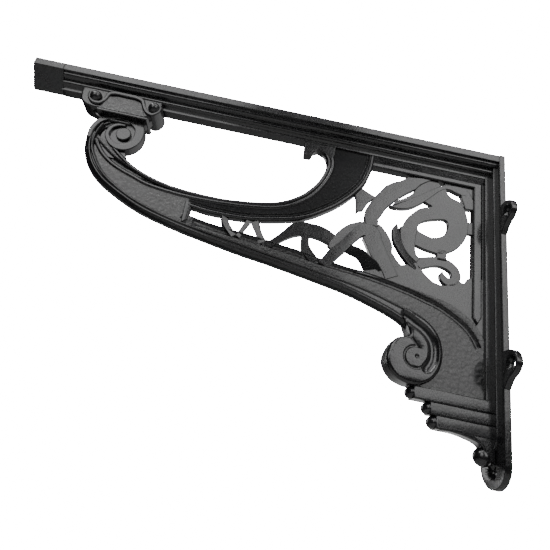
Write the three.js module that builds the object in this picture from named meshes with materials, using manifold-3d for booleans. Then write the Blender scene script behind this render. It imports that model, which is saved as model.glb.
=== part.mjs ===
// Ornate cast iron shelf bracket, one casting. Millimetres, +Z up.
// The wall plate's back face is the plane x = 0, the shelf rail points along -X and the
// pierced web lies in the plane y = 0. The origin is on the back face, midway between the
// two pairs of screw lugs. Carving is laid out in `at(out, down)`: distances out from the
// wall and down from the shelf face, drawn on a 312 x 203 field that follows the casting.
import * as THREE from 'three';
import { mergeVertices } from 'three/addons/utils/BufferGeometryUtils.js';
import Module from 'manifold-3d';

const wasm = await Module();
wasm.setup();

// Sizes.
const projection = 312;        // wall face to the tip of the rail
const height = 203;            // shelf face to the foot of the plate
const railWidth = 25;          // shelf face, across
const railDepth = 14;          // shelf face to the underside of the rail
const railLip = 4.2;           // plain strip at the edge of the shelf face
const railFoot = 6.8;          // width of the rail's underside
const tipLength = 19;          // plain run at the free end before the mouldings start
const tipDepth = 11.2;         // depth of the rail in that run
const plateWidth = 25;         // wall plate, across
const plateThickness = 4;
const bandWidth = 16;          // raised band down the plate
const bandRise = 2;
const lugReach = 12.2;         // screw lugs, beyond the plate's edge
const lugHoleInset = 5.8;      // hole centre in from the lug's outer edge
const lugTopUpper = 39;        // top of the upper pair, below the shelf face
const lugTopLower = 133;
const lugDrop = 8;             // hole centre below the lug's top
const lugTail = 19;            // lug's top to where its tail dies into the plate
const screwBore = 5;
const sinkDiameter = 9;
const footHoleRise = 9;        // lowest screw hole, above the foot of the plate
const webThickness = 6;        // rims, border bead and hook
const panelThickness = 4.2;    // sunk faces between the rims
const leafThickness = 3.2;     // plain web and tracery
const stepThickness = 9.4;     // moulded steps at the foot
const rimWidth = 4.6;          // double bead round the opening and along the crescent
const beadWidth = 2.6;         // single bead along the arm
const beadRise = 0.6;          // it stands proud of the rims
const borderInset = 13.2;      // centre line of the border bead, out from the wall face
const borderDrop = 20.3;       // and down from the shelf face
const borderWidth = 3;
const eyeRise = 0.5;           // eye of the small volute over its band
const voluteThickness = 13;    // lower volute
const blockThickness = 14;     // strapped block under the rail
const ballDiameter = 10.4;     // drop ball at the foot

// Helpers.
const field = [312, 203];
const at = (out, down) => [-out * projection / field[0], -down * height / field[1]];
const solid = (geometry) => {
  geometry.deleteAttribute('normal');
  geometry.deleteAttribute('uv');
  const g = mergeVertices(geometry, 1e-4);
  return new wasm.Manifold(new wasm.Mesh({
    numProp: 3,
    vertProperties: new Float32Array(g.attributes.position.array),
    triVerts: new Uint32Array(g.index.array),
  }));
};
const shapeOf = (points) => new THREE.Shape(points.map(([x, y]) => new THREE.Vector2(x, y)));

// A shape drawn in x and z, centred on the web's plane with the given thickness.
const slab = (shape, thickness, curveSegments = 12) => solid(
  new THREE.ExtrudeGeometry(shape, { depth: thickness, bevelEnabled: false, curveSegments })
    .rotateX(Math.PI / 2).translate(0, thickness / 2, 0));

// A smooth run of [out, down, width] stations, read back as evenly spaced samples.
const run = (stations, n) => {
  const curve = new THREE.CatmullRomCurve3(stations.map(([out, down, w = 0]) =>
    new THREE.Vector3(...at(out, down), w)), false, 'centripetal');
  return curve.getSpacedPoints(n);
};

// A ribbon of varying width that follows its stations, as a leaf, stem or rib.
const ribbon = (stations, n = 12, thickness = webThickness) => {
  const p = run(stations, n), left = [], right = [];
  for (let i = 0; i <= n; i++) {
    const a = p[Math.max(i - 1, 0)], b = p[Math.min(i + 1, n)];
    const l = Math.hypot(b.x - a.x, b.y - a.y), w = Math.max(p[i].z, 0.3) / 2;
    const nx = -(b.y - a.y) / l * w, ny = (b.x - a.x) / l * w;
    left.push([p[i].x + nx, p[i].y + ny]);
    right.unshift([p[i].x - nx, p[i].y - ny]);
  }
  return slab(shapeOf([...left, ...right]), thickness);
};

// The area between two smooth edges, both drawn in the same direction.
const between = (edgeA, edgeB, thickness, n = 18) => slab(shapeOf([
  ...run(edgeA, n).map((p) => [p.x, p.y]),
  ...run(edgeB, n).map((p) => [p.x, p.y]).reverse(),
]), thickness);

// A closed smooth outline through its points, and a slab with such an opening. Both are drawn
// the same way round, and an opening has to run against its outline.
const loop = (points, n) => new THREE.CatmullRomCurve3(points.map(([out, down]) =>
  new THREE.Vector3(...at(out, down), 0)), true, 'centripetal').getSpacedPoints(n).slice(0, n)
  .map((p) => [p.x, p.y]);
const pierced = (outer, inner, thickness) => {
  const shape = shapeOf(loop(outer, 3 * outer.length));
  shape.holes.push(shapeOf(loop(inner, 3 * inner.length).reverse()));
  return slab(shape, thickness);
};

const disc = (out, down, radius, thickness, segments = 24) => {
  const [x, z] = at(out, down);
  return solid(new THREE.CylinderGeometry(radius, radius, thickness, segments).translate(x, 0, z));
};
const ball = (out, down, y, diameter) => {
  const [x, z] = at(out, down);
  return solid(new THREE.SphereGeometry(diameter / 2, 14, 9).translate(x, y, z));
};
// A scroll: a ribbon that winds round a centre while its radius falls.
const scroll = (out, down, r0, r1, a0, a1, w0, w1, thickness) => {
  const stations = [];
  for (let i = 0; i <= 12; i++) {
    const t = i / 12, a = a0 + (a1 - a0) * t, r = r0 + (r1 - r0) * Math.sin(t * Math.PI / 2);
    stations.push([out - r * Math.cos(a), down - r * Math.sin(a), w0 + (w1 - w0) * t]);
  }
  return ribbon(stations, 28, thickness);
};
const box = (x0, x1, y0, y1, z0, z1) => solid(new THREE.BoxGeometry(x1 - x0, y1 - y0, z1 - z0)
  .translate((x0 + x1) / 2, (y0 + y1) / 2, (z0 + z1) / 2));
const joined = (list) => list.reduce((a, b) => a.add(b));

// Shelf rail.
// Half of the moulded section as [half width, depth], mirrored; it is swept along X.
const alongX = (half, x0, x1) => {
  const pts = [...half, ...half.map(([y, z]) => [-y, z]).reverse()];
  const g = new THREE.ExtrudeGeometry(shapeOf(pts), { depth: x1 - x0, bevelEnabled: false });
  return solid(g.rotateX(Math.PI / 2).rotateZ(Math.PI / 2).translate(x0, 0, 0));
};
const w = railWidth / 2, foot = railFoot / 2, step = (w - foot) / 8;
const drop = railDepth - railLip;
const railSection = [
  [w, 0], [w, -railLip], [w - 2 * step, -railLip - drop * 0.03],
  [w - 1.4 * step, -railLip - drop * 0.14], [w - 1.5 * step, -railLip - drop * 0.28],
  [w - 2.4 * step, -railLip - drop * 0.39], [w - 5.4 * step, -railLip - drop * 0.52],
  [w - 6.2 * step, -railLip - drop * 0.66], [w - 6.2 * step, -railLip - drop * 0.8],
  [foot, -railLip - drop * 0.84], [foot, -railDepth],
];
const tipSection = [[w, 0], [w, -railLip], [w * 0.92, -railLip * 1.1], [foot, -tipDepth]];
const tipEnd = -projection + tipLength;
const rail = alongX(railSection, tipEnd - 2, 0);
const tip = alongX(tipSection, -projection, tipEnd + 1);
// The mouldings start with a hollow stop at the tip.
const stopRadius = railDepth - railLip * 0.6;
const stopCut = solid(new THREE.CylinderGeometry(stopRadius, stopRadius, railWidth * 1.2, 24)
  .translate(tipEnd - stopRadius * 0.82, 0, -railLip * 0.9 - stopRadius))
  .subtract(alongX(tipSection, -projection - 40, 20));

// Wall plate.
// Drawn in y and z and given its thickness along X, the back face on x = 0.
const facing = (shape, x0, x1, curveSegments = 10) => solid(
  new THREE.ExtrudeGeometry(shape, { depth: x1 - x0, bevelEnabled: false, curveSegments })
    .rotateX(Math.PI / 2).rotateZ(Math.PI / 2).translate(x0, 0, 0));
const tongue = (halfWidth, low) => {
  const s = new THREE.Shape();
  s.moveTo(-halfWidth, 0);
  s.lineTo(-halfWidth, -low + halfWidth);
  s.absarc(0, -low + halfWidth, halfWidth, Math.PI, 2 * Math.PI, false);
  s.lineTo(halfWidth, 0);
  return s;
};
const lug = (side, top) => {
  const edge = plateWidth / 2, s = new THREE.Shape(), tipY = edge + lugReach, k = side;
  s.moveTo(k * (edge - 2), -top);
  s.lineTo(k * (edge + 1), -top);
  s.quadraticCurveTo(k * tipY, -top + 0.8, k * tipY, -top - lugDrop);
  s.bezierCurveTo(k * tipY, -top - lugDrop * 1.7, k * (edge + 1), -top - lugTail * 0.75,
    k * edge, -top - lugTail);
  s.lineTo(k * (edge - 2), -top - lugTail);
  return facing(s, -plateThickness, 0, 7);
};
const screwHole = (y, z, face) => {
  const deep = face + 1, r = screwBore / 2, sink = sinkDiameter / 2;
  const profile = [[0, -1], [r, -1], [r, face - (sink - r)], [sink, face], [sink, deep], [0, deep]]
    .map(([a, b]) => new THREE.Vector2(a, b));
  return solid(new THREE.LatheGeometry(profile, 16).rotateZ(Math.PI / 2).translate(0, y, z));
};
const lugY = plateWidth / 2 + lugReach - lugHoleInset;
const lugTops = [lugTopUpper, lugTopLower];
const plate = facing(tongue(plateWidth / 2, height), -plateThickness, 0);
const bandShape = tongue(bandWidth / 2, height - footHoleRise - sinkDiameter);
const band = facing(bandShape, -plateThickness - bandRise, -plateThickness + 1);
const lugs = lugTops.flatMap((top) => [1, -1].map((side) => lug(side, top)));
const holes = lugTops.flatMap((top) => [1, -1].map((side) =>
  screwHole(side * lugY, -top - lugDrop, plateThickness)))
  .concat(screwHole(0, -height + footHoleRise, plateThickness));

// Arms.
// Edges of the big D-shaped opening, the arm's bead and outer edge, the top of the lower arm
// and the crescent that rises to the rail.
const openingEdge = [[240, 54.5], [220.5, 64.1], [190.3, 69.4], [160.1, 68], [138.5, 64.1],
  [121.5, 49.9], [114.2, 35], [113.2, 29.2], [114.2, 23.9], [120.9, 18.4], [124.5, 20.5]];
const armEdge = [[262.8, 31.3], [265.4, 39.2], [264.9, 49], [256.6, 66.9], [238, 81.8],
  [220, 90], [196.1, 96.2], [168.7, 101.5], [141.4, 105.8], [104.9, 111.8], [71.7, 120.6],
  [62, 124], [54, 128.4]];
const armBead = [[261.6, 41], [260.9, 51.8], [250.5, 67.5], [228, 82], [196.7, 91.1],
  [156.2, 98.4], [118, 104.3], [90.2, 108.7], [60.7, 117], [51, 120.9]];
const armTop = [[190.4, 85.2], [169.8, 88.4], [140.5, 90.9], [108.4, 95.4], [82.2, 98],
  [59.5, 101.8], [40, 107.5]];
const bandEdge = [[192.3, 79.8], [160.3, 81], [134.5, 75.6], [111.5, 64.5], [93.3, 46.4],
  [84.8, 27.5], [83.6, 12]];
const inset = (edge, d) => edge.map(([out, down], i) => {
  const a = edge[Math.max(i - 1, 0)], b = edge[Math.min(i + 1, edge.length - 1)];
  const l = Math.hypot(b[0] - a[0], b[1] - a[1]);
  return [out - (b[1] - a[1]) / l * d, down + (b[0] - a[0]) / l * d];
});
const rim = (edge, side, n = 22) =>
  ribbon(inset(edge, side * rimWidth / 2).map((p) => [...p, rimWidth]), n);
const beadThickness = webThickness + 2 * beadRise;
const beaded = (edge, n) => ribbon(edge.map((p) => [...p, beadWidth]), n, beadThickness);

const arms = [
  between(openingEdge.slice(0, 3), armEdge.slice(2, 7), panelThickness, 16),
  slab(shapeOf([at(202, 70), at(188, 70.4), at(188, 96), at(193, 96.2), at(201, 94)]),
    panelThickness),
  between([...openingEdge.slice(2, 7), [112, 24], [112, 12]], bandEdge, panelThickness, 22),
  between([[194, 84.6], ...armTop.slice(1)], [[194, 96.45], [184, 98.7], ...armEdge.slice(7)],
    panelThickness, 20),
  rim(openingEdge, -1, 32),
  rim(bandEdge, 1, 26),
  beaded(armBead, 32),
  ribbon([[192.4, 76.5, 3.4], [192.4, 91, 3.4]], 1),
  slab(shapeOf([at(130.9, 8), at(129.9, 24.2), at(125.2, 24.2), at(124, 20.2), at(120.9, 18.4),
    at(114, 23), at(110, 34), at(110, 8)]), webThickness),
];

// Scrolls.
const scrollEye = [243.6, 39.4], baseEye = [48.8, 144.2];
const scrolls = [
  disc(...scrollEye, 11.6, panelThickness),
  slab(shapeOf([at(250, 24.2), at(262, 31), at(265, 39), at(263.5, 54), at(240, 57),
    at(243, 42)]), panelThickness),
  disc(...scrollEye, 5.6, beadThickness + 2 * eyeRise, 18),
  ribbon([[263, 46, 3.4], [263.4, 39, 3.6], [260.6, 32.4, 3.8], [255.4, 27.6, 4.2],
    [250, 26.6, 4.6]], 10, beadThickness),
  scroll(...scrollEye, 10, 8.2, 2.1, -3.7, 5.4, 1.6, beadThickness),
  disc(...baseEye, 13.4, voluteThickness),
  ribbon([[60.7, 117, 3], [51, 120.9, 3], [41.3, 126.6, 3.2], [36, 133.7, 3.2],
    [34.6, 141.5, 3.2], [36.4, 149.4, 3.2], [41.6, 155.4, 3.2], [49.4, 157, 3]], 18,
  voluteThickness - 2),
  slab(shapeOf([at(67, 118), at(54, 128.4), at(56, 134), at(38, 134), at(42, 127), at(52, 121)]),
    voluteThickness - 4),
];

// Block under the rail.
const blockShape = shapeOf([at(274, 8), at(273.5, 22), at(270, 28), at(262, 30), at(238, 30),
  at(231, 29), at(227, 24), at(226, 8)]);
const strap = [[272.4, 16, 2.4], [268.3, 21.2, 2.6], [264, 19.6, 2.6], [261, 13.8, 2.6],
  [257, 11.2, 2.8], [245, 11.2, 2.8], [240, 12.4, 2.8], [237.4, 17.4, 2.6], [234, 21.2, 2.6],
  [229, 20.8, 2.4], [227.2, 16, 2.2]];
const block = [
  slab(blockShape, blockThickness - 2),
  ribbon(strap, 26, blockThickness),
  ribbon([[263, 25.5, 1.8], [236, 25.5, 1.8]], 1, blockThickness),
  ...[268.3, 231.2].flatMap((out) => [1, -1].map((side) =>
    ball(out, 16.4, side * (blockThickness / 2 - 1.6), 7.6))),
];

// Web, border and steps.
const bead = borderWidth / 2, [, borderLow] = at(0, 116), [borderEnd] = at(85, 0);
const [, stepsTop] = at(0, 160), [, stepsLow] = at(0, 182);
const border = [
  slab(shapeOf([[-borderInset - bead, -borderDrop], [-borderInset + bead, -borderDrop + bead],
    [-borderInset + bead, borderLow + 3], [-borderInset, borderLow],
    [-borderInset - bead, borderLow + 3]]), webThickness),
  box(borderEnd, -borderInset + bead, -webThickness / 2, webThickness / 2,
    -borderDrop - bead, -borderDrop + bead),
  box(borderEnd, 0, -panelThickness / 2, panelThickness / 2, -borderDrop, -railLip),
  box(-borderInset, 0, -leafThickness / 2, leafThickness / 2, stepsTop, -railLip),
  box(-plateThickness - bandRise - 4, 0, -webThickness / 2, webThickness / 2,
    stepsLow, -railLip),
];
const stepEdge = (out, top, low) => {
  const [x, z0] = at(out, top), [, z1] = at(out, low), r = (z0 - z1) / 2, s = new THREE.Shape();
  s.moveTo(-plateThickness, z1);
  s.lineTo(-plateThickness, z0);
  s.lineTo(x + r, z0);
  s.absarc(x + r, z1 + r, r, Math.PI / 2, Math.PI * 1.5, false);
  return slab(s, stepThickness, 8);
};
const web = [
  slab(shapeOf([at(4, 86.9), at(16.7, 87.5), at(21.3, 91.5), at(30.3, 95.2), at(36, 96.3),
    at(43, 93.2), at(51, 85), at(65, 92), at(78, 98), at(91, 98.8), at(67, 112), at(50, 122),
    at(49.5, 160), at(4, 162)]), leafThickness),
  stepEdge(51, 158.2, 165.5), stepEdge(41.2, 165, 172), stepEdge(38.6, 171.5, 178.8),
  between([[4, 176], [20, 176], [37, 176.5]], [[4, 192], [12, 188.5], [22, 181.4], [36, 178.5]],
    stepThickness - 1, 8),
  ball(9.6, 188, 0, ballDiameter),
  solid(new THREE.CylinderGeometry(ballDiameter * 0.36, ballDiameter * 0.36, 8, 12)
    .rotateZ(Math.PI / 2).translate(-5, 0, at(0, 188)[1])),
];

// Tracery.
// Stems and leaves of the pierced corner, each a run of [out, down, width] stations.
const stems = [
  // leaf that crosses the broad one and runs up to the corner
  [[70.2, 49, 0.7], [62, 46.9, 4.7], [52.5, 40.6, 5.9], [46.3, 35.3, 4.8], [35.3, 26.1, 3],
    [26, 26.1, 5.5], [20.3, 30.8, 7.1], [18.6, 39.5, 5.4]],
  // its fold below the border
  [[67.8, 46.8, 1], [60.1, 41.1, 2.6], [55, 37.4, 3.6], [50.9, 32.8, 6.7], [45.7, 27.9, 8],
    [39.3, 23.4, 7.6]],
  // tail of the ring and the leaf beside it
  [[56.9, 62.2, 10.6], [57, 69.3, 9.5], [54.5, 78.1, 6.2], [49.7, 83.4, 4], [47, 86, 4]],
  [[64.5, 61, 1], [64.2, 68.9, 6.2], [61.3, 78.1, 5.1], [54.6, 85.1, 5.7], [50, 88, 5.3]],
  // lower stem with its curl
  [[52, 88, 7.9], [45, 83.4, 7], [35.7, 81.3, 6.3], [29.2, 83.2, 6.4], [26, 88.2, 6],
    [29, 93.2, 5.4], [34.1, 90.9, 4.2], [34.5, 87.2, 0.6]],
  [[35.6, 72.4, 6.6], [35.3, 80.5, 6.5]],
  // arched stems at the middle
  [[105.6, 99.5, 7], [97.6, 86, 7], [90.7, 76, 6.8], [84.4, 70.1, 8.7], [79.9, 72.7, 11.8],
    [74.6, 83.3, 10.9], [68.3, 92.5, 8.2], [65, 98.5, 8.5]],
  [[103.4, 89, 6.2], [95.6, 75.7, 8.9], [88.8, 67.1, 3.6], [81.8, 63.2, 1.6]],
  [[78.8, 64.4, 1], [74.1, 69.5, 7.2], [69.9, 78.3, 8.3], [66.8, 85.4, 6.3], [56.8, 93.4, 6.5]],
  [[96, 82.4, 5.6], [91.3, 85.1, 6.3], [81.3, 90.2, 7.9], [74.1, 97.4, 8.6]],
  // tie to the border
  [[24, 54.6, 8.8], [12, 53.5, 9.5]],
  // arch and ribs above the lower arm
  [[141, 94.5, 4.3], [131, 84.1, 5.7], [122.8, 78, 9.2], [109.5, 78.6, 9], [99, 83.6, 7.3]],
  [[169.8, 77.8, 4.8], [168.7, 84.1, 4.4], [162, 93, 3.9]],
  [[153.8, 77.9, 4.3], [156.6, 85, 3.1], [159.6, 93, 3.3]],
  [[152.3, 76, 5.2], [147.4, 86.4, 3.9], [144, 94, 5.1]],
  [[119.5, 80.5, 5.2], [119, 87, 5], [112, 97, 5]],
];
const ring = [[43, 42.8], [48.1, 39.9], [40, 30.1], [34.7, 26.8], [29.6, 33.3], [21.9, 38.8],
  [19, 51.5], [21.5, 63.8], [28.7, 72.1], [36.5, 76.1], [51.7, 73.4], [61.4, 71.3], [61.4, 63],
  [58, 54.3], [51.5, 46.7]];
const ringOpening = [[51.3, 60.9], [48.2, 55.6], [39.7, 51.9], [32.8, 51.6], [32.3, 57.5],
  [37.5, 64], [44.3, 65]];
// Broad leaf from the border down to the crossing, and the notched tie beside it.
const leafEdge = [[62, 24], [69.5, 30.6], [77.6, 40.1], [83.4, 50.5], [85.2, 60], [84.8, 68]];
const leafInner = [[40, 22], [44.5, 29.7], [54.7, 37.8], [63.4, 41.6], [70.4, 49], [74.4, 56.6],
  [76, 68]];
const tie = shapeOf([at(89, 39), at(79, 44), at(84, 50), at(86.6, 56.3), at(90.8, 59.7),
  at(91.6, 50), at(93.5, 44.5)]);
const tracery = [
  between(leafEdge, leafInner, leafThickness, 20),
  slab(tie, leafThickness),
  slab(shapeOf([at(36, 20), at(12, 20), at(12, 32), at(17, 32), at(24, 25), at(33, 24)]),
    leafThickness),
  ...stems.map((stations) => ribbon(stations, 2 + 3 * stations.length, leafThickness)),
  pierced(ring, ringOpening, leafThickness),
];

// Casting.
const casting = joined([
  joined([rail.subtract(stopCut), tip]),
  joined([plate, band, ...lugs]),
  ...arms, ...scrolls, ...block, ...border, ...web, ...tracery,
]).subtract(joined(holes)).simplify(0.01)
  .translate([0, 0, (lugTopUpper + lugTopLower) / 2 + lugDrop]);

const mesh = casting.getMesh();
const geometry = new THREE.BufferGeometry();
geometry.setAttribute('position', new THREE.BufferAttribute(mesh.vertProperties, 3));
geometry.setIndex(new THREE.BufferAttribute(mesh.triVerts, 1));
geometry.computeVertexNormals();

const bracket = new THREE.Mesh(geometry, new THREE.MeshStandardMaterial({
  name: 'black_painted_cast_iron', color: 0x1c1d1e, roughness: 0.35, metalness: 0.0,
}));
bracket.name = 'bracket';

const group = new THREE.Group();
group.add(bracket);
export default group;
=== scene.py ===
"""Ornate cast iron shelf bracket, gloss black paint, dressed for a studio picture.

The tables below are in millimetres. Places on the web are [out from the wall, down from the
shelf face], and `spot` turns them to metres in the shared frame.
"""
import math

import bpy
from mathutils import Matrix, Vector


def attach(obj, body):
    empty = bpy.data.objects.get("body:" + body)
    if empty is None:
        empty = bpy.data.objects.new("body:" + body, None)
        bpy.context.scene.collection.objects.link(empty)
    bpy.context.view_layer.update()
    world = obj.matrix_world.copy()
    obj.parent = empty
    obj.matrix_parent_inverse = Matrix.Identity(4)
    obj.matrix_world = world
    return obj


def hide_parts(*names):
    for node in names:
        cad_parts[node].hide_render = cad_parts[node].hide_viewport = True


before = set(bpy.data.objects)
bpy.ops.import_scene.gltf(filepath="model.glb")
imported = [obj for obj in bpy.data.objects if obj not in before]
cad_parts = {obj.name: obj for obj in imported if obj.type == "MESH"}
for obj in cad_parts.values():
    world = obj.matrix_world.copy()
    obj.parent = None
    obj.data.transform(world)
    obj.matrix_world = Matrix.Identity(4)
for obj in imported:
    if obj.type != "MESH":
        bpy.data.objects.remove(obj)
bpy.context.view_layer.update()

bl_info = {
    "name": "Cast Iron Shelf Bracket",
    "version": (1, 0, 0),
    "blender": (4, 5, 0),
    "location": "View3D > Sidebar > Bracket",
    "description": "Models the casting of an ornate shelf bracket and its studio",
    "category": "Add Mesh",
}

SHELF = 94.0          # height of the shelf face over the row's origin
THINNEST = 0.4        # least width of a leaf
SHARP = 38            # degrees between faces from which an edge stays sharp
NODE = "bracket"
CAMERA = {"place": (-0.13683, -0.24269, -0.12253), "turn": -0.97, "rise": -23.46, "roll": 11.35,
          "focal": 456.51, "picture": 550}     # metres, degrees, pixels
SENSOR = 36


# Sizes and colours that a user would change.

class CastingSizes(bpy.types.PropertyGroup):
    rib: bpy.props.FloatProperty(name="Rib thickness", description="Rims, border and hook",
                                 default=0.006, unit="LENGTH")
    panel: bpy.props.FloatProperty(name="Panel thickness", description="Sunk faces of the arms",
                                   default=0.0042, unit="LENGTH")
    leaf: bpy.props.FloatProperty(name="Web thickness", description="Plain web and pierced ring",
                                  default=0.0032, unit="LENGTH")
    step: bpy.props.FloatProperty(name="Step thickness", description="Moulded steps at the foot",
                                  default=0.0094, unit="LENGTH")


class PaintLook(bpy.types.PropertyGroup):
    black: bpy.props.FloatVectorProperty(name="Paint", description="Colour of the gloss paint",
                                         subtype="COLOR", default=(0.009, 0.009, 0.010))
    roughness: bpy.props.FloatProperty(name="Roughness", description="Gloss of the paint",
                                       default=0.22, min=0.0, max=1.0, subtype="FACTOR")
    grain: bpy.props.FloatProperty(name="Casting grain", description="Height of the sand grain",
                                   default=0.00014, unit="LENGTH")


# Shader maths as expressions.

class Value:
    """A socket whose arithmetic adds Math nodes."""

    def __init__(self, paint, socket):
        self.paint, self.socket = paint, socket

    def _do(self, operation, a, b):
        return self.paint.node("ShaderNodeMath", {"operation": operation}, {0: a, 1: b})

    def __add__(self, other):
        return self._do("ADD", self, other)

    __radd__ = __add__

    def __sub__(self, other):
        return self._do("SUBTRACT", self, other)

    def __rsub__(self, other):
        return self._do("SUBTRACT", other, self)

    def __mul__(self, other):
        return self._do("MULTIPLY", self, other)

    def between(self, low, high):
        """0 at low, 1 at high, with soft ends."""
        return self.paint.node("ShaderNodeMapRange", {"interpolation_type": "SMOOTHSTEP"},
                               {"Value": self, "From Min": low, "From Max": high})


class Paint:
    """A node tree that is written with one method."""

    def __init__(self, tree):
        self.tree = tree
        self.tree.nodes.clear()

    def node(self, kind, settings=None, sockets=None, out=0):
        made = self.tree.nodes.new(kind)
        for name, value in (settings or {}).items():
            setattr(made, name, value)
        for name, value in (sockets or {}).items():
            if isinstance(value, Value):
                self.tree.links.new(value.socket, made.inputs[name])
            else:
                made.inputs[name].default_value = value
        return Value(self, made.outputs[out]) if made.outputs else None


WAVE_SCALE, WAVE_HEIGHT = 95.0, 0.00035     # slow waves of the cast surface, in metres
BLOOM_SCALE, BLOOM_PALER = 38.0, 1.7        # patches of duller, paler paint
GROUNDS = {     # material, grain scale, times the grain's height, added roughness, coat, IOR
    "gloss": ("gloss_black_paint", 900.0, 1, 0.0, 0.6, 1.5),
    "stipple": ("paint_on_stipple", 420.0, 7, 0.04, 0.6, 1.5),
    # painted shade: a copy of the gloss paint with little coat and a low IOR, so it reflects less
    # and the sunk crescent looks shaded
    "shaded_sunk": ("sunk_ground_painted_shade", 520.0, 5, 0.16, 0.05, 1.22),
}


def gloss_paint(name, look, grain_scale, grain_height, roughness, coat_weight, ior):
    """Black gloss paint over iron: sand grain under it, slow waves and a duller bloom."""
    material = bpy.data.materials.new(name)
    material.use_nodes = True
    paint = Paint(material.node_tree)
    place = paint.node("ShaderNodeTexCoord", out=3)

    def noise(scale, detail, rough=0.5):
        return paint.node("ShaderNodeTexNoise", None,
                          {"Vector": place, "Scale": scale, "Detail": detail, "Roughness": rough})

    grain = noise(grain_scale, 3.0, 0.6)
    waves = noise(WAVE_SCALE, 1.0)
    bloom = noise(BLOOM_SCALE, 3.0)
    height = grain * grain_height + waves * WAVE_HEIGHT
    bump = paint.node("ShaderNodeBump", None, {"Strength": 1.0, "Distance": 1.0, "Height": height})
    colour = paint.node("ShaderNodeMix", {"data_type": "RGBA"},
                        {0: bloom.between(0.35, 0.7), 6: (*look.black, 1.0),
                         7: (*(c * BLOOM_PALER for c in look.black), 1.0)},
                        out=2)
    dull = roughness + bloom.between(0.4, 0.75) * 0.07 + grain * 0.06
    shader = paint.node("ShaderNodeBsdfPrincipled", None, {
        "Base Color": colour, "Roughness": dull, "Metallic": 0.0, "IOR": ior,
        "Coat Weight": coat_weight, "Coat Roughness": 0.12, "Normal": bump})
    paint.node("ShaderNodeOutputMaterial", None, {"Surface": shader})
    return material


# Places and lines.

def size(name):
    """A user size in millimetres."""
    return getattr(bpy.context.scene.bracket_sizes, name) * 1000


def spot(out, down, y=0.0):
    """Row-frame point in metres for a place out from the wall and down from the shelf face."""
    return Vector((-out / 1000, y / 1000, (SHELF - down) / 1000))


def flow(points, steps=6, closed=False):
    """A smooth line through points of any number of values, as a list of tuples."""
    n, line = len(points), []
    spans = n if closed else n - 1
    for i in range(spans):
        p = [points[(i + k) % n] if closed else points[min(max(i + k, 0), n - 1)]
             for k in (-1, 0, 1, 2)]
        gaps = [max(math.dist(p[k][:2], p[k + 1][:2]), 1e-3) ** 0.5 for k in range(3)]
        for s in range(steps):
            t = s / steps
            place = []
            for c in range(len(p[1])):
                a, b = p[1][c], p[2][c]
                m1 = b - a + gaps[1] * ((a - p[0][c]) / gaps[0]
                                        - (b - p[0][c]) / (gaps[0] + gaps[1]))
                m2 = b - a + gaps[1] * ((p[3][c] - b) / gaps[2]
                                        - (p[3][c] - a) / (gaps[1] + gaps[2]))
                if not closed and i == 0:
                    m1 = b - a
                if not closed and i == spans - 1:
                    m2 = b - a
                place.append((2 * t ** 3 - 3 * t ** 2 + 1) * a + (t ** 3 - 2 * t ** 2 + t) * m1
                             + (-2 * t ** 3 + 3 * t ** 2) * b + (t ** 3 - t ** 2) * m2)
            line.append(tuple(place))
    if not closed:
        line.append(tuple(points[-1]))
    return line


def leaf_outline(stations):
    """Both edges of a leaf from its [out, down, width] stations, as one closed outline."""
    line = flow(stations, 5)
    left, right = [], []
    for i, (x, z, width) in enumerate(line):
        a, b = line[max(i - 1, 0)], line[min(i + 1, len(line) - 1)]
        length, width = math.hypot(b[0] - a[0], b[1] - a[1]) or 1e-6, max(width, THINNEST)
        nx, nz = -(b[1] - a[1]) / length * width / 2, (b[0] - a[0]) / length * width / 2
        left.append((x + nx, z + nz))
        right.append((x - nx, z - nz))
    return left + right[::-1]


# Modelling helpers.

def clear_selection():
    bpy.ops.object.select_all(action="DESELECT")


def settle(obj, name):
    """Applies the place, merges doubles, faces outward and shades by angle."""
    clear_selection()
    obj.select_set(True)
    bpy.context.view_layer.objects.active = obj
    if obj.type != "MESH":
        bpy.ops.object.convert(target="MESH")
        obj = bpy.context.object
    bpy.ops.object.transform_apply(location=True, rotation=True, scale=True)
    bpy.ops.object.mode_set(mode="EDIT")
    bpy.ops.mesh.select_all(action="SELECT")
    bpy.ops.mesh.remove_doubles(threshold=1e-6)
    bpy.ops.mesh.normals_make_consistent(inside=False)
    bpy.ops.object.mode_set(mode="OBJECT")
    smooth(obj)
    obj.name = name
    return obj


def smooth(obj):
    """Shades by angle and keeps flat faces flat up to their soft edges."""
    clear_selection()
    obj.select_set(True)
    bpy.context.view_layer.objects.active = obj
    bpy.ops.object.shade_smooth_by_angle(angle=math.radians(SHARP))
    change = obj.modifiers.new("Normals", "WEIGHTED_NORMAL")
    change.keep_sharp = True
    bpy.ops.object.modifier_apply(modifier="Normals")


def new_curve(lines, closed=True):
    """A flat curve of straight-sided lines, in metres."""
    clear_selection()
    bpy.ops.curve.primitive_bezier_curve_add(location=(0, 0, 0))
    curve = bpy.context.object
    data = curve.data
    data.splines.clear()
    data.dimensions = "2D"
    for line in lines:
        spline = data.splines.new("POLY")
        spline.points.add(len(line) - 1)
        for point, (a, b) in zip(spline.points, line):
            point.co = (a, b, 0, 1)
        spline.use_cyclic_u = closed
    return curve


def slab(name, outlines, thickness, rounding):
    """A flat piece of the web from closed [out, down] outlines, with soft edges; inner
    outlines are openings."""
    lines = [[(-out / 1000, (SHELF - down) / 1000) for out, down in line] for line in outlines]
    curve = new_curve(lines)
    data = curve.data
    data.fill_mode = "BOTH"
    data.bevel_depth = rounding / 1000
    data.bevel_resolution = 2
    data.offset = -rounding / 1000
    data.extrude = max(thickness / 2 - rounding, 0.05) / 1000
    curve.rotation_euler = (math.pi / 2, 0, 0)
    return settle(curve, name)


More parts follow.
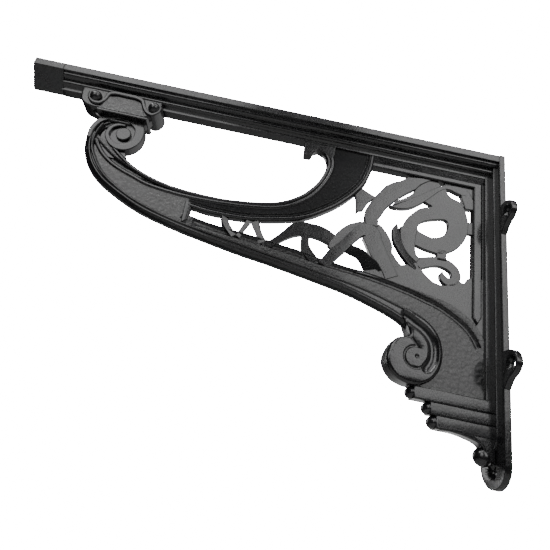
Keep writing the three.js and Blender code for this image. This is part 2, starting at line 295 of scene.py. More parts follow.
def moulding(name, line, profile):
    """A run of a closed (across, depth) profile along an [out, down] line. Positive across is
    to the right of the run, seen from the front."""
    section = new_curve([[(a / 1000, b / 1000) for a, b in profile]])
    path = new_curve([[(-out / 1000, (SHELF - down) / 1000) for out, down in line]], False)
    data = path.data
    data.fill_mode = "NONE"
    data.bevel_mode = "OBJECT"
    data.bevel_object = section
    data.use_fill_caps = True
    path.rotation_euler = (math.pi / 2, 0, 0)
    made = settle(path, name)
    bpy.data.objects.remove(section)
    return made


def facing(name, outlines, low, high, rounding):
    """A flat piece of the wall plate from closed (y, down) outlines, between two x in mm."""
    lines = [[(y / 1000, (SHELF - down) / 1000) for y, down in line] for line in outlines]
    curve = new_curve(lines)
    data = curve.data
    data.fill_mode = "BOTH"
    data.bevel_depth = rounding / 1000
    data.bevel_resolution = 2
    data.offset = -rounding / 1000
    data.extrude = (high - low) / 2000 - rounding / 1000
    curve.rotation_euler = (math.pi / 2, 0, math.pi / 2)
    curve.location = ((low + high) / 2000, 0, 0)
    return settle(curve, name)


def along_rail(name, section, low, high):
    """A closed (y, down) section run along the rail between two x in mm."""
    return facing(name, [section], low, high, 0.02)


def tube(name, line, radius, y):
    """A round bar along an [out, down] line at the given y."""
    ring = [(radius * math.cos(math.pi * i / 12), radius * math.sin(math.pi * i / 12) - y)
            for i in range(24)]
    return moulding(name, line, ring)


def shifted(line, d):
    """A line moved sideways; positive goes to the left of its run, seen from the front."""
    moved = []
    for i, p in enumerate(line):
        a, b = line[max(i - 1, 0)], line[min(i + 1, len(line) - 1)]
        length = math.dist(a[:2], b[:2]) or 1e-6
        moved.append((p[0] - (b[1] - a[1]) / length * d, p[1] + (b[0] - a[0]) / length * d))
    return moved


def ball(name, place, radius, squash=1.0):
    """A ball at a place in metres, with its half width across the web times squash."""
    clear_selection()
    bpy.ops.mesh.primitive_uv_sphere_add(segments=32, ring_count=20, radius=radius / 1000,
                                         location=place)
    made = bpy.context.object
    made.scale = (1, squash, 1)
    return settle(made, name)


def button(name, out, down, radius, thickness, rounding):
    """A round boss across the web with rounded edges."""
    clear_selection()
    bpy.ops.mesh.primitive_cylinder_add(vertices=48, radius=radius / 1000,
                                        depth=thickness / 1000, location=spot(out, down),
                                        rotation=(math.pi / 2, 0, 0))
    made = bpy.context.object
    bevel = made.modifiers.new("Edge", "BEVEL")
    bevel.width, bevel.segments = rounding / 1000, 3
    bpy.ops.object.modifier_apply(modifier="Edge")
    return settle(made, name)


def cut(body, tool):
    """Takes one solid out of another."""
    clear_selection()
    body.select_set(True)
    bpy.context.view_layer.objects.active = body
    change = body.modifiers.new("Cut", "BOOLEAN")
    change.operation, change.object, change.solver = "DIFFERENCE", tool, "MANIFOLD"
    before = len(body.data.vertices)
    bpy.ops.object.modifier_apply(modifier="Cut")
    if len(body.data.vertices) in (0, before):
        raise RuntimeError("the cut in %s by %s failed" % (body.name, tool.name))
    bpy.data.objects.remove(tool)
    smooth(body)
    return body


def drill(part, y, down):
    """A countersunk screw hole, square to the wall plate."""
    for wide, narrow, low, high in SCREW_HOLE:
        clear_selection()
        bpy.ops.mesh.primitive_cone_add(
            vertices=40, radius1=wide / 1000, radius2=narrow / 1000, depth=(high - low) / 1000,
            location=((low + high) / 2000, y / 1000, (SHELF - down) / 1000),
            rotation=(0, math.pi / 2, 0))
        cut(part, settle(bpy.context.object, "drill"))
    return part


def finish_piece(parts, name):
    """Joins parts into one piece that stands for the casting."""
    clear_selection()
    for part in parts:
        part.select_set(True)
    bpy.context.view_layer.objects.active = parts[0]
    bpy.ops.object.join()
    piece = bpy.context.object
    piece.name = name
    return piece


def tilted(leaf, line, angle):
    """Turns a leaf about the line between its ends, as a twisting leaf lies."""
    if not angle:
        return leaf
    a, b = spot(*line[0][:2]), spot(*line[-1][:2])
    middle = Matrix.Translation((a + b) / 2)
    leaf.matrix_world = middle @ Matrix.Rotation(math.radians(angle), 4, b - a) @ middle.inverted()
    return settle(leaf, leaf.name)


def ground_paint(kind):
    """The paint of one kind of ground, made once."""
    name, grain_scale, rougher, duller, coat_weight, ior = GROUNDS[kind]
    look = bpy.context.scene.bracket_paint
    return bpy.data.materials.get(name) or gloss_paint(
        name, look, grain_scale, look.grain * rougher, look.roughness + duller, coat_weight, ior)


def coat(obj, kind):
    obj.data.materials.clear()
    obj.data.materials.append(ground_paint(kind))
    return obj


def hand_over(piece):
    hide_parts(NODE)
    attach(piece, "root")


# Lines of the casting, in mm.

OPENING = [(240, 54.5), (231.1, 60.3), (220.5, 64.6), (206.4, 68.1), (190.3, 69.6),
           (173.7, 69.8), (160.1, 68.4), (149.4, 66.6), (138.5, 63.4), (127.7, 56.6),
           (121.5, 49.9), (116.7, 42.2), (114.2, 35), (113.2, 29.2), (114.2, 23.9),
           (116.8, 20.2), (120.9, 18.4), (124, 20.2), (125.4, 24)]
INNER = [(259.8, 46), (257.0, 50.2), (252.5, 55.3), (245.7, 60.4), (238.2, 64.0), (230.0, 66.9),
         (221.3, 70.0), (208.4, 72.0), (190.3, 73.0), (160.1, 71.4), (136.9, 66.6), (125.6, 59.4),
         (118.8, 52.2), (113.8, 43.6), (110.9, 35.4), (110, 29.4), (110.9, 23), (113.6, 18),
         (116, 14)]
ARM = [(264.0, 31.3), (266.6, 39.2), (266.1, 49.0), (262.9, 58.4), (257.3, 67.3), (249.0, 75.2),
       (238, 81.8), (220, 90), (196.1, 96.4), (182, 99.2), (168.7, 101.6), (155, 103.9),
       (141.4, 105.7), (120, 109.1), (105, 111.7), (91, 114.4), (76, 118.6), (62, 123.6),
       (54.2, 128)]
RIM = [(259.8, 33.5), (261.6, 41), (260.9, 51.8), (256.7, 59.6), (250.5, 67.5), (242.4, 74.2),
       (228, 82.2), (212, 88.0), (196.5, 92.0), (179.9, 94.7), (167.5, 96.7), (156.2, 98.4),
       (142.9, 100.5), (118, 104.1), (103.2, 106.5), (90.2, 108.5), (73.8, 112.2), (60.7, 116.2),
       (48.2, 119.9), (40.8, 125.0), (36.4, 131.6), (35.1, 139.8), (36.4, 147.4), (40.9, 153.6),
       (47.2, 157.5), (51, 158.2)]
ARM_TOP = [(190.4, 85.2), (178.5, 87.3), (169.8, 88.4), (156.6, 89.3), (148.7, 90.1),
           (140.5, 90.8), (133, 92), (120.8, 93.3), (108.4, 95.6), (100.1, 96.4), (91.3, 97.5),
           (82.2, 98), (74.4, 98.9), (66.3, 100.2), (57, 101.9), (47, 103.5), (38.3, 105.3),
           (30, 107.3), (21.7, 111.6), (16.2, 115.4), (12.1, 120.1), (8, 127)]
GROOVE = [(187.0, 88.3), (172.1, 90.6), (156.2, 92.2), (139.8, 93.6), (121.1, 95.9), (107.6, 98.0),
          (91.0, 99.6), (80.0, 100.9), (66.0, 103.2), (54.0, 105.7), (45.4, 108.0), (35.7, 111.0),
          (27.7, 115.0), (20.2, 120.1), (15.4, 125.5), (12.4, 131.0)]
BAND = [(192.3, 79.6), (181, 81), (173.3, 81.1), (160.3, 80.8), (150, 79.3), (136.2, 76.1),
        (127.2, 73.4), (119.4, 69.9), (111.5, 64.5), (102.8, 57.3), (93.3, 46.4), (87.8, 37.3),
        (84.8, 27.5), (83.8, 19.8), (83.6, 12)]
CHANNEL = [(68, 117.6), (61.4, 120.2), (56, 122.4), (51.3, 125.0), (45.3, 128.6),
           (41.2, 133.4), (39.9, 138.4), (40.4, 144.6), (43, 149.2)]
SNAIL = [(54.2, 128), (53.3, 132.3), (60.0, 134.8), (63.7, 140.5), (65.4, 147.1), (63.7, 152.2),
         (59.6, 156.7), (54.1, 158.9), (48.5, 159.2), (41.2, 156.2), (36.4, 150.4), (34.2, 142),
         (35.2, 133.2), (39.8, 125.4), (47, 120.4), (58, 117.6)]
LEAVES = {
    "A_fold": (2.2, [(67.8, 47.2, 1.0), (64.3, 44.0, 2.3), (60.1, 41.2, 2.6), (55.0, 37.4, 4.0),
                     (50.9, 33.0, 6.7), (45.7, 27.9, 8.0), (39.3, 22.6, 8.6)]),
    "E": (3.6, [(70.2, 49.0, 0.7), (67.1, 48.9, 1.9), (62.0, 46.9, 4.7), (57.5, 44.5, 5.8),
                (52.5, 40.6, 5.9), (46.3, 35.3, 4.8), (40.9, 30.1, 3.5), (35.3, 26.1, 3.0),
                (30.6, 25.5, 3.9), (26.0, 26.1, 5.5), (22.1, 26.9, 5.7), (20.3, 30.8, 7.1),
                (19.0, 34.7, 7.2), (18.6, 39.5, 5.4)]),
    "H": (3.6, [(56.9, 62.2, 10.6), (57.0, 69.3, 9.5), (56.2, 73.8, 8.1), (54.5, 78.1, 6.2),
                (52.4, 81.3, 4.1), (49.7, 83.4, 4.0)]),
    "F": (2.8, [(64.7, 60.8, 0.7), (65.0, 64.5, 3.9), (64.7, 68.9, 5.2), (63.6, 74.0, 5.4),
                (61.3, 78.1, 5.1), (57.8, 82.4, 5.2), (54.6, 85.1, 5.7), (50.0, 88.0, 5.3)]),
    "J": (3.2, [(50.7, 85.5, 7.9), (45.0, 83.4, 7.0), (40.1, 81.7, 6.5), (35.7, 81.3, 6.3),
                (32.2, 81.8, 6.6), (29.2, 83.2, 6.4), (27.0, 85.4, 6.2), (26.0, 88.2, 6.0),
                (26.5, 91.0, 5.8), (29.0, 93.2, 5.4), (32.2, 92.8, 5.0), (34.1, 90.9, 4.2),
                (34.7, 89.0, 2.6), (34.5, 87.2, 0.5)]),
    "K": (3.2, [(35.6, 72.4, 6.6), (35.4, 75.8, 6.1), (35.3, 80.5, 6.5)]),
    "B1": (3.9, [(106.2, 99.6, 6.9), (103.6, 94.8, 6.9), (101.4, 91.0, 7.2), (97.6, 86.0, 7.0),
                 (93.7, 80.6, 6.6), (90.7, 76.0, 6.8), (87.5, 72.0, 7.4), (84.4, 70.1, 8.7),
                 (81.9, 70.8, 11.3), (79.9, 72.7, 11.8), (77.6, 77.6, 10.8), (74.6, 83.3, 10.9),
                 (71.4, 88.1, 9.1), (68.3, 92.5, 8.2), (65.0, 98.5, 8.5)]),
    "B2": (2.6, [(102.8, 88.0, 6.5), (98.4, 80.3, 8.5), (95.6, 75.7, 8.9), (92.3, 71.0, 6.9),
                 (88.8, 67.1, 3.6), (82.4, 63.8, 1.3)]),
    "D": (2.6, [(78.8, 64.4, 1.0), (76.5, 65.8, 5.0), (74.1, 69.5, 7.2), (71.7, 73.8, 8.4),
                (69.9, 78.3, 8.3), (68.9, 82.0, 6.4), (66.8, 85.4, 6.3), (64.0, 88.6, 5.9),
                (60.8, 90.9, 5.5), (56.8, 93.4, 6.5)]),
    "tie": (2.6, [(22.0, 53.4, 8.8), (18.4, 53.2, 8.8), (12.2, 52.6, 9.4)]),
    "M": (2.0, [(96.0, 83.2, 5.6), (91.3, 85.1, 6.3), (85.5, 86.8, 6.9), (81.3, 90.2, 7.9),
                (78.3, 93.1, 10.0), (74.1, 97.4, 8.6)]),
    "P": (3.4, [(143.0, 95.4, 4.3), (139.5, 92.8, 4.3), (137.0, 90.3, 4.3), (131.0, 84.1, 5.7),
                (126.7, 80.0, 8.4), (122.8, 78.0, 9.2), (117.3, 77.7, 9.0), (109.5, 78.6, 9.0),
                (101.0, 82.4, 7.3)]),
    "s1": (3.0, [(169.8, 77.8, 4.8), (168.7, 84.1, 4.4), (166.8, 87.3, 4.4), (161.6, 92.6, 4.2)]),
    "s3": (3.0, [(153.8, 77.9, 4.3), (156.6, 85.0, 3.1), (159.4, 92.6, 3.3)]),
    "s4": (3.0, [(152.3, 76.0, 5.2), (149.5, 82.7, 4.7), (147.4, 86.4, 3.9), (143.6, 93.2, 5.4)]),
    "s5": (3.0, [(119.5, 80.5, 5.2), (119.0, 87.0, 5.0), (117.5, 91.4, 6.0), (111.4, 97.8, 5.4)]),
}
TILTS = {"M": 20, "s1": -18, "s3": -20, "s4": 18, "F": -12, "B2": 14}
BROAD = [(60, 24), (64.3, 28.0), (69.5, 30.6), (73.9, 34.2), (77.6, 40.1), (80.6, 44.8),
         (84.9, 54.5), (85.4, 60), (84.4, 66), (76, 66), (76.2, 60.5), (74.4, 56.6), (73.7, 55.2),
         (71.7, 50.5), (70.1, 48.3), (66.3, 43.8), (62.9, 40.2), (59, 36.4), (54.2, 32.4),
         (51, 27.9), (46, 24), (42, 21)]
NOTCH = [(88.6, 40), (79.6, 44.2), (84, 50), (86.6, 56.3), (89.2, 57.3), (90.8, 59.7),
         (91.4, 54), (91.9, 49.8), (93, 45.5), (92, 43)]
CORNER = [(36, 20), (12, 20), (12, 30), (16.6, 30), (17.9, 27.4), (20.6, 24.6), (26, 23.4),
          (34.6, 24.2)]
RING = [(43.0, 42.8), (48.1, 39.9), (43.9, 34.6), (40.0, 30.1), (34.7, 26.8), (32.5, 30.9),
        (29.6, 33.3), (25.3, 34.6), (21.9, 38.8), (20.1, 43.8), (19.0, 48.9), (19.0, 54.2),
        (19.9, 59.6), (21.5, 63.8), (24.8, 68.7), (28.7, 72.1), (32.0, 74.1), (36.5, 76.1),
        (40.7, 75.7), (46.0, 74.9), (51.7, 73.4), (57.0, 72.5), (61.4, 71.3), (61.8, 66.9),
        (61.4, 63.0), (60.0, 58.8), (58.0, 54.3), (54.8, 50.2), (51.5, 46.7), (47.0, 44.3)]
RING_HOLE = [(51.3, 60.9), (50.6, 58.4), (48.2, 55.6), (44.2, 53.5), (39.7, 51.9), (36.2, 51.0),
             (33.6, 51.0), (32.4, 52.4), (32.1, 56.0), (32.8, 59.1), (34.7, 62.1), (37.5, 64.0),
             (40.8, 65.2), (44.3, 65.0), (47.7, 63.9), (50.4, 62.6)]
WEB = [(51.0, 84.9), (47.3, 88.3), (45.5, 90.9), (42.9, 93.2), (39.5, 95.4), (35.7, 96.3),
       (32.4, 96.2), (30.3, 94.8), (23.8, 90.7), (23.2, 91.7), (21.3, 92.2), (19.7, 90.7),
       (18.9, 88.7), (16.7, 87.5), (4, 86.9), (4, 133), (8, 127.6), (12.1, 120.8), (16.2, 116.1),
       (21.7, 112.3), (30, 108), (38.3, 106), (47, 104.2), (57, 102.6), (66.3, 101), (88, 99.6),
       (70, 93)]

# Sections, cuts and small shapes, in mm. Sections are (half width, down), profiles (across, depth).

SIDES = (1, -1)
RAIL_RUN, TIP_RUN = (-293, -0.2), (-312, -292.4)        # x from and to
RAIL_HALF = [(11.9, 0.02), (11.9, 4.6), (11.6, 5.0), (10.2, 5.05), (10.0, 5.2), (10.0, 6.0),
             (9.7, 6.8), (9.0, 7.5), (8.0, 7.9), (6.6, 8.1), (6.2, 8.4), (6.5, 8.9), (6.7, 9.6),
             (6.5, 10.4), (6.0, 11.0), (5.2, 11.3), (4.4, 11.5), (4.0, 12.0), (3.4, 12.3),
             (3.3, 13.9), (3.0, 14.0)]
TIP_HALF = [(11.9, 0.02), (11.9, 4.6), (11.6, 5.0), (1.5, 15.1), (0.9, 15.4)]

# Wall plate, with x from front to back.
PLATE = {"half": 12.5, "low": 203, "x": (-4, -0.1), "rounding": 0.5}
PLATE_TOP = 0.02
RAISED = (("band", 8.2, 185, -6, -3, 0.6),              # half width, low end, x from and to,
          ("fillet", 3.6, 182, -9, -5, 0.5))            # rounding
LUG_EDGE = [(13.2, 0), (18, 0.2), (22.6, 2.6), (24.6, 8), (22.4, 12.4), (16.6, 16), (12.9, 20.5)]
LUG_TOPS, LUG_ROOT, LUG_DROP, LUG_X = (39, 133), 9, 20.5, (-3.9, -0.2)
LUG_HOLE, FOOT_HOLE = (18.8, 8), 194                    # y and fall under the lug's top; down
SCREW_HOLE = ((2.5, 2.5, -6.0, 1.0), (4.8, 2.4, -4.3, -1.9))   # front and back radius, x range

# Arms.
HOLLOW = [(260, 46.5), (252.7, 52.7), (245.7, 57.8), (237, 61.9), (227.5, 65.3), (216, 68.6),
          (205, 70.8), (192, 71.6)]
OPENING_LINE = [(259.1, 45.0), (252.8, 49.9), (245.6, 55.0), (235.8, 59.9), (225.4, 63.9),
                (215.4, 67.0), (203, 69.7)]
OPENING_START = (246.4, 49.4)
SLOPE = [(0.1, 0.5), (-0.3, 0.95), (-0.7, 1.0), (-2.0, 1.7), (-3.2, 2.6), (-3.9, 3.3),
         (-4.3, 3.5)]
END_BAR = [(194.6, 75.6), (190.9, 76.6), (190.2, 88.6), (193.6, 91.2)]
HOOK = [(130.9, 8), (130.3, 17.4), (129.9, 24.2), (125.2, 24.2), (124, 20.2), (120.9, 18.4),
        (116.8, 20.2), (112, 24), (110, 20), (110, 8)]
GROOVE_CUT, HOLLOW_CUT = (2.3, 0.75), (2.3, 0.9)        # radius, height over the panel's face

# Volutes.
SMALL_SPIRAL = [(264.4, 46.0, 2.6), (264.5, 38.8, 3.2), (262.4, 32.8, 3.6), (257.6, 27.9, 4.2),
                (249.3, 25.0, 5.2), (241.9, 26.8, 6.0), (236.2, 31.7, 6.2), (234.9, 38.2, 6.0),
                (236.3, 43.9, 5.6), (240.6, 47.9, 5.0), (246.0, 48.4, 4.0), (251.1, 45.7, 3.2),
                (254.2, 40.9, 2.8), (253.5, 35.6, 2.8), (249.9, 32.3, 2.4), (245.0, 31.7, 1.6)]
SMALL_EYE = (244.4, 38.6, 4.7)                          # out, down, radius
SMALL_GROUND = [(260, 29), (252, 25.5), (242, 26), (235, 32), (234, 42), (239, 49), (247, 51),
                (258, 50), (264, 42)]
SMALL_WEB = [(264.2, 36), (264.9, 44), (263.4, 54), (246, 57), (238, 54.6), (243, 44), (255, 29)]
BAY = [(258.6, 49.0), (260.2, 42.0), (258.9, 36.6), (255.4, 32.6), (251.0, 30.2)]
BAY_CUT = (3.4, 4.3)                                    # radius, y
LOW_EYE = (49.7, 144.3)
TURN_START, TURN_RADIUS = (52.3, 133.6), 6.1
CHANNEL_CUT, TURN_CUT, DIMPLE_CUT = (3.9, 8.4), (0.95, 6.6), (1.5, 7.2)     # radius, y

# Block under the rail.
BLOCK_ENDS = ([(278.8, 15), (277.6, 19.9), (274.9, 22.9), (268.8, 25)],
              [(234.8, 25), (228.7, 22), (226.6, 18.2), (226.4, 12.5)])
BLOCK_LOW = [(271, 22), (266, 28.4), (260, 30), (240, 30), (234, 28.4), (230, 22)]
STRAP = [(272.4, 14, 2.2), (272.0, 18.4, 2.3), (268.6, 21.4, 2.5), (264.4, 21.2, 2.5),
         (262.0, 17.6, 2.5), (260.8, 13.2, 2.6), (257.6, 11.4, 2.8), (250, 11.3, 2.9),
         (243, 11.5, 2.9), (239, 13.2, 2.7), (237.0, 17, 2.5), (234, 21, 2.5), (230, 22.2, 2.4),
         (227, 19.4, 2.2), (226.4, 15, 2.0)]
ABACUS = [(265, 25.4), (231.6, 25.6), (232.4, 27.4), (264.4, 27.2)]
BLOCK_GROUND = [(260, 14.6), (239.4, 14.6), (234, 25.4), (264, 25.4)]
STUDS = {"outs": (268.4, 230.3), "down": 17.0, "y": 6.4, "radius": 3.9}

# Border, steps and foot.
BORDER_BEAD = [(84.5, 18.6), (10.8, 18.6), (10.8, 112.5), (13.3, 117.2), (16.1, 113),
               (16.1, 22.4), (84.5, 22.4)]
BORDER_RUN = [(84.5, 15.6), (40, 15.6), (3, 15.6)]
BORDER_SLOPE = [(-4, 3.7), (3.4, 0.9), (3.4, -0.9), (-4, -3.7)]
BORDER_SIDE = [(9.9, 12), (3, 12), (3, 132), (4, 137), (9.9, 136)]
BORDER_FILLET = [(8.3, 12), (3, 12), (3, 186), (6, 186), (8.3, 181)]
STEPS = ((52.1, 159.2, 166.0), (42.6, 166.0, 172.4), (39.5, 172.4, 179.2))  # out, high, low
FOOT = [(33.1, 179.4), (27.8, 179.3), (22.6, 179.7), (17.4, 180.7), (13.5, 181.8), (10.9, 183.4),
        (9, 190)]
DROP = (9.2, 188, 4.9)                                  # out, down, radius
FLATS = (("broad", BROAD, 3.4, 0.5), ("notch", NOTCH, 2.4, 0.4), ("corner", CORNER, 2.4, 0.3))

# Studio.
LIGHTS = (      # turn and rise in degrees, width and height in metres, watts
    ("soft_box_right", 27, 27, 0.55, 0.95, 4.7),
    ("soft_box_left", -27, 27, 0.6, 0.95, 5.2),
    ("top_light", 8, 68, 1.2, 0.35, 4.0),
    ("glint_light", -65, 52, 0.3, 0.3, 2.5),
    ("back_light", -150, 10, 0.22, 0.7, 1.6))
LIGHT_AIM, LIGHT_REACH = Vector((-0.14, 0.0, 0.0)), 1.25
FLOOR = {"radius": 1.3, "place": (-0.15, 0, -0.75), "grey": 0.9, "roughness": 0.8}


def bead_profile(half, width, shift=0.0):
    """A single bead, centred on its run or shifted to one side."""
    w = width / 2
    front = [(-w - 0.5, half - 1.2), (-w, half - 0.5), (-w * 0.5, half - 0.1), (0, half),
             (w * 0.5, half - 0.1), (w, half - 0.5), (w + 0.5, half - 1.2)]
    return [(a + shift, b) for a, b in mirrored(front)]


def mirrored(half):
    """A closed section from the half on one side of the web, given as (across, depth)."""
    return half + [(a, -b) for a, b in half[::-1]]


def both_edges(half):
    """A closed (y, down) section from its half on the +Y side."""
    return half + [(-y, down) for y, down in half[::-1]]


def tongue(half, low):
    """The (y, down) outline of a strip that ends in a half circle."""
    arc = [(half * math.cos(a), low - half + half * math.sin(a))
           for a in [math.pi * i / 24 for i in range(25)]]
    return [(half, PLATE_TOP)] + arc + [(-half, PLATE_TOP)]


class BRACKET_OT_rail(bpy.types.Operator):
    """Moulded shelf rail with its plain tip"""
    bl_idname = "bracket.rail"
    bl_label = "Shelf rail"

    def execute(self, context):
        rail = along_rail("rail", both_edges(RAIL_HALF), *RAIL_RUN)
        tip = along_rail("tip", both_edges(TIP_HALF), *TIP_RUN)
        hand_over(finish_piece([coat(rail, "gloss"), coat(tip, "gloss")], "shelf_rail"))
        return {"FINISHED"}


class BRACKET_OT_plate(bpy.types.Operator):
    """Wall plate with its raised band, four screw lugs and the countersunk holes"""
    bl_idname = "bracket.plate"
    bl_label = "Wall plate"

    def execute(self, context):
        plate = facing("plate", [tongue(PLATE["half"], PLATE["low"])], *PLATE["x"],
                       PLATE["rounding"])
        parts = [drill(plate, 0, FOOT_HOLE)]
        for top in LUG_TOPS:
            for side in SIDES:
                edge = flow([(y, top + fall) for y, fall in LUG_EDGE], 6)
                shape = ([(side * LUG_ROOT, top)] + [(side * y, down) for y, down in edge]
                         + [(side * LUG_ROOT, top + LUG_DROP)])
                lug = facing("lug", [shape], *LUG_X, PLATE["rounding"])
                parts.append(drill(lug, side * LUG_HOLE[0], top + LUG_HOLE[1]))
        for name, half, low, front, back, rounding in RAISED:
            parts.append(facing(name, [tongue(half, low)], front, back, rounding))
        for part in parts:
            coat(part, "gloss")
        hand_over(finish_piece(parts, "wall_plate"))
        return {"FINISHED"}


class BRACKET_OT_arms(bpy.types.Operator):
    """Scrolled arm, crescent, hook and lower arm with their beaded rims"""
    bl_idname = "bracket.arms"
    bl_label = "Arms"

    def execute(self, context):
        half, panel = size("rib") / 2, size("panel")
        inner, top, band, rim, outer = (flow(line, 6)
                                        for line in (INNER, ARM_TOP, BAND, RIM, ARM))
        scroll_line = flow(OPENING[:5], 6) + [(190.3, 94)] + flow(RIM[1:9], 6)[::-1]
        crescent_line = [(194, 69.4)] + flow(OPENING[4:15], 6) + [(110, 12)] + band[::-1]
        lower_line = [(194, 84.6)] + top + [(4, 133), (4, 162)] + flow(RIM[8:], 6)[::-1]
        edge_line = flow(RIM[1:19], 6) + shifted(flow(ARM[1:], 6), 2.8)[::-1]
        lower_arm = slab("lower_arm", [lower_line], panel, 0.25)
        for side in SIDES:
            cut(lower_arm, tube("groove", flow(GROOVE, 5), GROOVE_CUT[0],
                                side * (panel / 2 + GROOVE_CUT[1])))
        scroll_arm = slab("scroll_arm", [scroll_line], panel, 0.2)
        for side in SIDES:
            cut(scroll_arm, tube("hollow", flow(HOLLOW, 5), HOLLOW_CUT[0],
                                 side * (panel / 2 + HOLLOW_CUT[1])))

        def run(name, line, profile):
            return coat(moulding(name, line, profile), "gloss")

        parts = [
            coat(scroll_arm, "stipple"),
            run("opening_line", flow(OPENING_LINE, 5), bead_profile(half - 0.2, 1.0)),
            # the crescent takes the low-reflecting copy of the paint as painted shade
            coat(slab("crescent", [crescent_line], panel, 0.2), "shaded_sunk"),
            coat(lower_arm, "stipple"),
            coat(slab("arm_edge", [edge_line], half * 2, 0.4), "gloss"),
            run("arm_slope", outer, mirrored(SLOPE)),
            run("opening_edge", flow([OPENING_START] + OPENING, 6), bead_profile(half, 2.0, 0.9)),
            run("opening_roll", inner, bead_profile(half, 2.2)),
            run("arm_rim", rim, bead_profile(half + 0.7, 1.3, -0.6)),
            run("band_edge", band, bead_profile(half, 1.9, -1.2)),
            run("band_roll", shifted(band, 2.9), bead_profile(half, 1.0)),
            run("band_line", shifted(band, 4.6), bead_profile(half - 0.3, 0.9)),
            coat(slab("end_bar", [END_BAR], 5.6, 0.7), "gloss"),
            coat(slab("hook", [HOOK], size("rib"), 0.4), "gloss")]
        hand_over(finish_piece(parts, "arms"))
        return {"FINISHED"}


class BRACKET_OT_scrolls(bpy.types.Operator):
    """Volutes at both ends of the arm"""
    bl_idname = "bracket.scrolls"
    bl_label = "Scrolls"

    def execute(self, context):
        parts = [slab("small_spiral", [leaf_outline(SMALL_SPIRAL)], 6.8, 0.6),
                 button("small_eye", *SMALL_EYE, 7.2, 0.6)]
        grounds = [slab("small_ground", [SMALL_GROUND], 3.6, 0.4),
                   slab("small_web", [SMALL_WEB], 3.2, 0.3)]
        for side in SIDES:
            for ground in grounds:
                cut(ground, tube("bay", flow(BAY, 4), BAY_CUT[0], side * BAY_CUT[1]))
        body = slab("low_body", [flow(SNAIL, 4, True)], 13.0, 1.9)
        x, z = LOW_EYE
        for side in SIDES:
            radius, y = CHANNEL_CUT
            cut(body, tube("channel", flow(CHANNEL, 4), radius, side * y))
            cut(body, ball("channel_end", spot(*CHANNEL[-1], side * y), radius - 0.02))
            turn = [(x + TURN_RADIUS * math.cos(a), z - TURN_RADIUS * math.sin(a))
                    for a in [math.radians(100 - 13 * i) for i in range(20)]]
            cut(body, tube("turn", [TURN_START] + turn, TURN_CUT[0], side * TURN_CUT[1]))
            cut(body, ball("dimple", spot(x - 0.9, z - 0.6, side * DIMPLE_CUT[1]), DIMPLE_CUT[0]))
        parts += grounds + [body]
        for part in parts:
            coat(part, "gloss")
        hand_over(finish_piece(parts, "scrolls"))
        return {"FINISHED"}


class BRACKET_OT_block(bpy.types.Operator):
    """Strapped block between the rail and the small volute"""
    bl_idname = "bracket.block"
    bl_label = "Block under the rail"

    def execute(self, context):
        outer_end, inner_end = (flow(line, 4) for line in BLOCK_ENDS)
        body = [(278.8, 10)] + outer_end + inner_end + [(226.4, 10)]
        parts = [coat(slab("block", [body], 12.6, 1.2), "gloss"),
                 coat(slab("block_low", [flow(BLOCK_LOW, 4)], 6.0, 1.0), "gloss"),
                 coat(slab("strap", [leaf_outline(STRAP)], 15.6, 0.7), "gloss"),
                 coat(slab("abacus", [ABACUS], 15.0, 0.6), "gloss"),
                 coat(slab("ground", [BLOCK_GROUND], 14.2, 0.5), "stipple")]
        for out in STUDS["outs"]:
            for side in SIDES:
                place = spot(out, STUDS["down"], side * STUDS["y"])
                parts.append(coat(ball("stud", place, STUDS["radius"]), "gloss"))
        hand_over(finish_piece(parts, "rail_block"))
        return {"FINISHED"}


class BRACKET_OT_web(bpy.types.Operator):
    """Border beads, plain web, moulded steps and the drop at the foot"""
    bl_idname = "bracket.web"
    bl_label = "Web and steps"

    def execute(self, context):
        thick = size("step")
        parts = [slab("web", [WEB], size("leaf"), 0.4),
                 slab("border_bead", [BORDER_BEAD], size("rib"), 0.9),
                 moulding("border_slope", BORDER_RUN, BORDER_SLOPE),
                 slab("border_side", [BORDER_SIDE], 2.6, 0.3),
                 slab("border_fillet", [BORDER_FILLET], 5.6, 1.6)]
        for out, high, low in STEPS:
            r = (low - high) / 2
            parts.append(slab("step", [[(4, high), (out - r, high), (out - r, low), (4, low)]],
                              thick, 0.8))
            parts.append(ball("nose", spot(out - r, high + r), r, thick / 2 / r))
        foot = [(4, 175)] + flow(FOOT, 5) + [(4, 191)]
        parts.append(slab("foot", [foot], thick - 0.6, 1.0))
        parts.append(ball("drop", spot(*DROP[:2]), DROP[2]))
        for part in parts:
            coat(part, "gloss")
        hand_over(finish_piece(parts, "web_and_steps"))
        return {"FINISHED"}


class BRACKET_OT_tracery(bpy.types.Operator):
    """Pierced leaves, ring and web"""
    bl_idname = "bracket.tracery"
    bl_label = "Tracery"

    def execute(self, context):
        parts = [tilted(slab(name, [leaf_outline(line)], thick, 0.4), line, TILTS.get(name, 0))
                 for name, (thick, line) in LEAVES.items()]
        parts += [slab(name, [line], thick, rounding) for name, line, thick, rounding in FLATS]
        parts.append(slab("ring", [flow(RING, 4, True), flow(RING_HOLE, 4, True)],
                          size("leaf"), 0.4))
        for part in parts:
            coat(part, "gloss")
        hand_over(finish_piece(parts, "tracery"))
        return {"FINISHED"}


def bearing(turn, rise):
    """Unit vector from the bracket toward a turn round +Z from the front and a rise."""
    a, e = math.radians(turn), math.radians(rise)
    return Vector((math.sin(a) * math.cos(e), -math.cos(a) * math.cos(e), math.sin(e)))


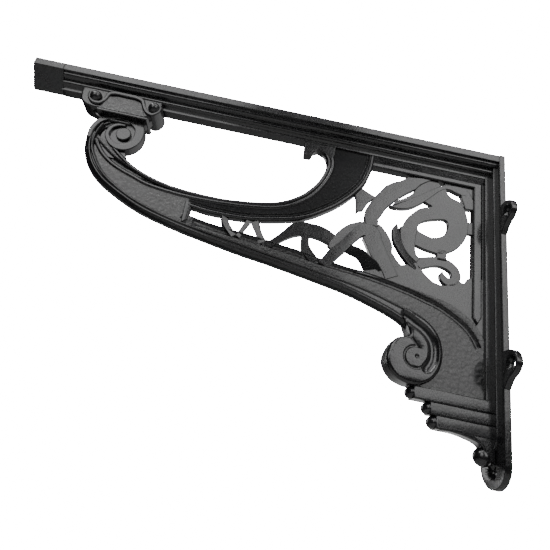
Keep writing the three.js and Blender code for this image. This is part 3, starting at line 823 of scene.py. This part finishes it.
class BRACKET_OT_stage(bpy.types.Operator):
    """Pale floor, soft boxes and the camera"""
    bl_idname = "bracket.stage"
    bl_label = "Studio"

    def floor(self, context):
        clear_selection()
        bpy.ops.mesh.primitive_circle_add(vertices=96, radius=FLOOR["radius"], fill_type="NGON",
                                          location=FLOOR["place"])
        floor = context.object
        floor.name = "floor"
        material = bpy.data.materials.new("pale_floor")
        material.use_nodes = True
        sockets = material.node_tree.nodes["Principled BSDF"].inputs
        sockets["Base Color"].default_value = (FLOOR["grey"], FLOOR["grey"], FLOOR["grey"], 1)
        sockets["Roughness"].default_value = FLOOR["roughness"]
        floor.data.materials.append(material)

    def lights(self, context):
        for name, turn, rise, size_x, size_y, power in LIGHTS:
            way = bearing(turn, rise)
            bpy.ops.object.light_add(type="AREA", location=LIGHT_AIM + way * LIGHT_REACH)
            light = context.object
            light.name = name
            light.data.shape = "RECTANGLE"
            light.data.size, light.data.size_y = size_x, size_y
            light.data.energy = power
            light.visible_camera = False
            light.rotation_euler = way.to_track_quat("Z", "Y").to_euler()

    def air(self, context):
        """White to the camera, and brighter to the right and behind for the reflections."""
        world = bpy.data.worlds.new("white_studio")
        context.scene.world = world
        world.use_nodes = True
        air = Paint(world.node_tree)
        way = air.node("ShaderNodeTexCoord", out=0)
        across, depth, height = (air.node("ShaderNodeSeparateXYZ", None, {"Vector": way}, out=i)
                                 for i in range(3))
        glow = (across * 0.7 + depth * 0.5 - height * 0.3).between(0.12, 0.95)
        seen = air.node("ShaderNodeLightPath", out=0)
        strength = seen * 40.0 + (1 - seen) * (glow * 0.8 + 0.02)
        back = air.node("ShaderNodeBackground", None, {"Color": (1, 1, 1, 1),
                                                       "Strength": strength})
        air.node("ShaderNodeOutputWorld", None, {"Surface": back})

    def camera(self, context):
        back_way = bearing(CAMERA["turn"], CAMERA["rise"])
        roll = math.radians(CAMERA["roll"])
        right = Vector((0, 0, 1)).cross(back_way).normalized()
        up = back_way.cross(right)
        side = right * math.cos(roll) + up * math.sin(roll)
        over = up * math.cos(roll) - right * math.sin(roll)
        bpy.ops.object.camera_add(location=CAMERA["place"])
        camera = context.object
        camera.name = "camera"
        camera.data.sensor_width = SENSOR
        camera.data.lens = SENSOR * CAMERA["focal"] / CAMERA["picture"]
        camera.data.clip_start = 0.01
        camera.rotation_euler = Matrix((side, over, back_way)).transposed().to_euler()
        context.scene.camera = camera

    def execute(self, context):
        self.floor(context)
        self.lights(context)
        self.air(context)
        self.camera(context)
        return {"FINISHED"}


class BRACKET_PT_panel(bpy.types.Panel):
    """Lists the pieces of the casting"""
    bl_idname = "BRACKET_PT_panel"
    bl_label = "Shelf bracket"
    bl_space_type = "VIEW_3D"
    bl_region_type = "UI"
    bl_category = "Bracket"

    def draw(self, context):
        for cls in OPERATORS:
            self.layout.operator(cls.bl_idname)
        for group in (context.scene.bracket_sizes, context.scene.bracket_paint):
            for name in group.__annotations__:
                self.layout.prop(group, name)


OPERATORS = (BRACKET_OT_rail, BRACKET_OT_plate, BRACKET_OT_arms, BRACKET_OT_scrolls,
             BRACKET_OT_block, BRACKET_OT_web, BRACKET_OT_tracery, BRACKET_OT_stage)
CLASSES = (CastingSizes, PaintLook, *OPERATORS, BRACKET_PT_panel)


def register():
    for cls in CLASSES:
        bpy.utils.register_class(cls)
    bpy.types.Scene.bracket_sizes = bpy.props.PointerProperty(type=CastingSizes)
    bpy.types.Scene.bracket_paint = bpy.props.PointerProperty(type=PaintLook)


def unregister():
    del bpy.types.Scene.bracket_paint
    del bpy.types.Scene.bracket_sizes
    for cls in reversed(CLASSES):
        bpy.utils.unregister_class(cls)


def main():
    register()
    for make in (bpy.ops.bracket.rail, bpy.ops.bracket.plate, bpy.ops.bracket.arms,
                 bpy.ops.bracket.scrolls, bpy.ops.bracket.block, bpy.ops.bracket.web,
                 bpy.ops.bracket.tracery, bpy.ops.bracket.stage):
        make()


if __name__ == "__main__":
    main()
